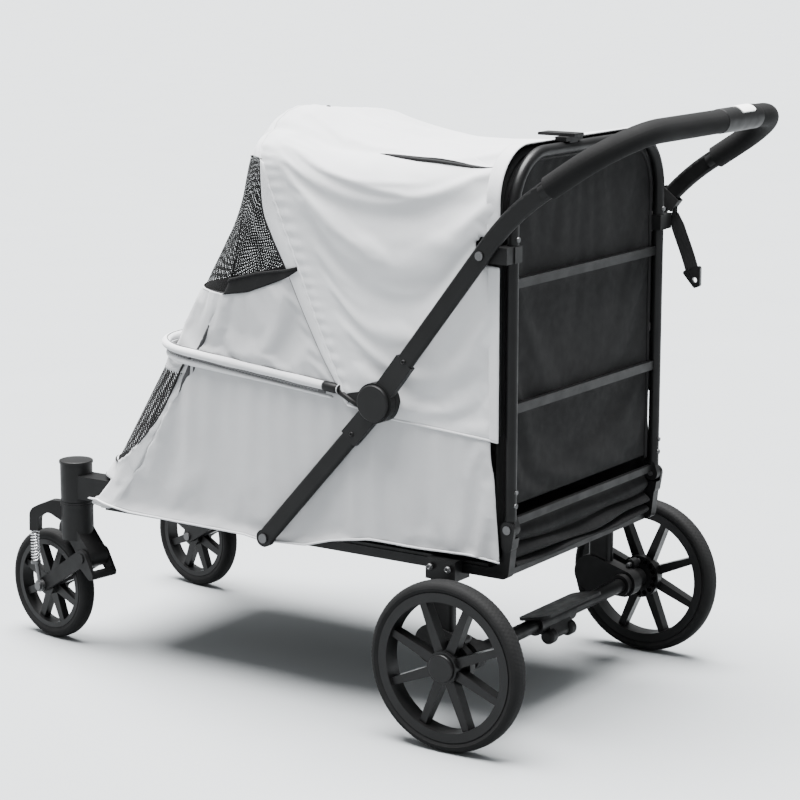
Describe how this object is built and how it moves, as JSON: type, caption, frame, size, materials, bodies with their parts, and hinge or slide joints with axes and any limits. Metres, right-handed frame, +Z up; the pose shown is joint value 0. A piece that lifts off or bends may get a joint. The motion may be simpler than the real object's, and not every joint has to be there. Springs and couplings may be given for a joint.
{
  "type": "pet stroller",
  "caption": "Folding pet stroller with a hooded mesh-windowed cabin, sprung front casters, braked rear wheels and a push handle.",
  "frame": {"origin": "on the floor under the middle of the whole stroller's bounding box", "axes": "+Z up, -Y forward in the direction of travel, +X the stroller's left side"},
  "size_m": [0.6988, 1.3331, 1.0062],
  "materials": {
    "frame_black": "satin black powder coat",
    "plastic_black": "fine-grained moulded black",
    "rim_black": "satin moulded black",
    "tyre_black": "matt foamed rubber",
    "foam_black": "closed-cell foam sleeve",
    "fabric_grey": "light grey woven polyester",
    "fabric_black": "black woven polyester",
    "mesh_black": "black open mesh",
    "webbing_black": "ribbed webbing",
    "steel": "zinc-plated",
    "spring_chrome": "bright coil",
    "button_grey": "pale moulded button",
    "hook_black": "moulded black"
  },
  "bodies": {
    "chassis": {"side_rails": "frame_black", "cross_rails": "frame_black", "chassis_fasteners": "steel", "caster_housings": "plastic_black", "caster_brackets": "frame_black", "rear_legs": "frame_black", "axle_housings": "plastic_black", "axle_tube": "frame_black", "rear_axle": "steel", "floor_board": "plastic_black", "floor_cushion": "fabric_black", "base_cover": "plastic_black", "liner_roll": "fabric_black", "cabin_tub": "fabric_grey", "lower_mesh": "mesh_black", "front_cover": "fabric_grey", "upper_mesh": "mesh_black", "canopy_cover": "fabric_grey", "cabin_rim": "fabric_black"},
    "rear_frame": {"rear_arch": "frame_black", "arch_knuckles": "plastic_black", "back_panel": "fabric_black", "canopy_rear_hoop": "fabric_black", "pivot_brackets": "plastic_black", "frame_fasteners": "steel", "top_clip": "plastic_black"},
    "handle": {"handle_tube": "frame_black", "handle_grips": "foam_black", "release_housing": "plastic_black", "joint_covers": "plastic_black", "joint_caps": "plastic_black", "tether_loop": "webbing_black"},
    "release_button": {"release_button": "button_grey"},
    "lower_arms": {"lower_arms": "frame_black", "joint_bases": "plastic_black", "bow_brackets": "plastic_black"},
    "canopy_bow": {"canopy_bow": "frame_black"},
    "caster_left": {"swivel_body_left": "plastic_black", "caster_spring_left": "spring_chrome"},
    "fork_left": {"swivel_fork_left": "plastic_black", "spring_strut_left": "steel"},
    "wheel_front_left": {"front_rim_left": "rim_black", "front_tyre_left": "tyre_black"},
    "wheel_rear_left": {"rear_rim_left": "rim_black", "rear_tyre_left": "tyre_black", "rear_hub_cap_left": "rim_black"},
    "brake_pin_left": {"brake_pin_left": "steel"},
    "caster_right": {"swivel_body_right": "plastic_black", "caster_spring_right": "spring_chrome"},
    "fork_right": {"swivel_fork_right": "plastic_black", "spring_strut_right": "steel"},
    "wheel_front_right": {"front_rim_right": "rim_black", "front_tyre_right": "tyre_black"},
    "wheel_rear_right": {"rear_rim_right": "rim_black", "rear_tyre_right": "tyre_black", "rear_hub_cap_right": "rim_black"},
    "brake_pin_right": {"brake_pin_right": "steel"},
    "brake_pedal": {"brake_pedal": "plastic_black"},
    "tether": {"tether_strap": "webbing_black", "tether_hook": "hook_black"}
  },
  "joints": [
    {"name": "rear_fold", "type": "hinge", "parent": "chassis", "child": "rear_frame", "pos_m": [0, 0.4318, 0.352], "axis": [1, 0, 0], "range_deg": [0, 78], "deforming": ["cabin_tub", "lower_mesh", "front_cover", "upper_mesh", "canopy_cover", "cabin_rim"]},
    {"name": "handle_fold", "type": "hinge", "parent": "rear_frame", "child": "handle", "pos_m": [0, 0.3988, 0.789], "axis": [1, 0, 0], "range_deg": [0, 37.78]},
    {"name": "arm_fold", "type": "hinge", "parent": "chassis", "child": "lower_arms", "pos_m": [0, -0.0332, 0.276], "axis": [1, 0, 0], "range_deg": [-37.03, 0]},
    {"name": "bow_fold", "type": "hinge", "parent": "lower_arms", "child": "canopy_bow", "pos_m": [0, 0.1358, 0.53], "axis": [1, 0, 0], "range_deg": [0, 104.53]},
    {"name": "release_press", "type": "slide", "parent": "handle", "child": "release_button", "axis": [0, -0.4226, -0.9063], "range_m": [0, 0.003], "stiffness_N_per_m": 400, "springref_m": -0.002},
    {"name": "swivel_left", "type": "hinge", "parent": "chassis", "child": "caster_left", "pos_m": [0.211, -0.4962, 0.3], "axis": [0, 0, 1], "continuous": true},
    {"name": "suspension_left", "type": "hinge", "parent": "caster_left", "child": "fork_left", "pos_m": [0.21629, -0.45857, 0.17], "axis": [0.9903, -0.1392, 0], "range_deg": [-5, 0], "stiffness_Nm_per_rad": 60, "springref_deg": 9.17, "deforming": ["caster_spring_left"]},
    {"name": "roll_front_left", "type": "hinge", "parent": "fork_left", "child": "wheel_front_left", "pos_m": [0.20126, -0.56552, 0.1015], "axis": [0.9903, -0.1392, 0], "continuous": true},
    {"name": "roll_rear_left", "type": "hinge", "parent": "chassis", "child": "wheel_rear_left", "pos_m": [0.3274, 0.3718, 0.14], "axis": [1, 0, 0], "continuous": true},
    {"name": "swivel_right", "type": "hinge", "parent": "chassis", "child": "caster_right", "pos_m": [-0.211, -0.4962, 0.3], "axis": [0, 0, 1], "continuous": true},
    {"name": "suspension_right", "type": "hinge", "parent": "caster_right", "child": "fork_right", "pos_m": [-0.20571, -0.45857, 0.17], "axis": [0.9903, -0.1392, 0], "range_deg": [-5, 0], "stiffness_Nm_per_rad": 60, "springref_deg": 9.17, "deforming": ["caster_spring_right"]},
    {"name": "roll_front_right", "type": "hinge", "parent": "fork_right", "child": "wheel_front_right", "pos_m": [-0.22074, -0.56552, 0.1015], "axis": [0.9903, -0.1392, 0], "continuous": true},
    {"name": "roll_rear_right", "type": "hinge", "parent": "chassis", "child": "wheel_rear_right", "pos_m": [-0.3274, 0.3718, 0.14], "axis": [1, 0, 0], "continuous": true},
    {"name": "brake_press", "type": "hinge", "parent": "chassis", "child": "brake_pedal", "pos_m": [0, 0.3718, 0.14], "axis": [1, 0, 0], "range_deg": [-20, 0]},
    {"name": "brake_pin_left_slide", "type": "slide", "parent": "chassis", "child": "brake_pin_left", "axis": [1, 0, 0], "range_m": [0, 0.0068]},
    {"name": "brake_pin_right_slide", "type": "slide", "parent": "chassis", "child": "brake_pin_right", "axis": [-1, 0, 0], "range_m": [0, 0.0068]},
    {"name": "tether_swing", "type": "hinge", "parent": "handle", "child": "tether", "pos_m": [-0.2765, 0.4418, 0.7998], "axis": [1, 0, 0], "range_deg": [-25, 40], "stiffness_Nm_per_rad": 0.1, "springref_deg": 1.72}
  ],
  "couplings": [
    {"joint": "handle_fold", "follows": "rear_fold", "ratio": 0.48305},
    {"joint": "arm_fold", "follows": "rear_fold", "ratio": -0.47341},
    {"joint": "bow_fold", "follows": "rear_fold", "ratio": 1.3388},
    {"joint": "brake_pin_left_slide", "follows": "brake_press", "m_per_rad": -0.01948},
    {"joint": "brake_pin_right_slide", "follows": "brake_press", "m_per_rad": -0.01948}
  ]
}
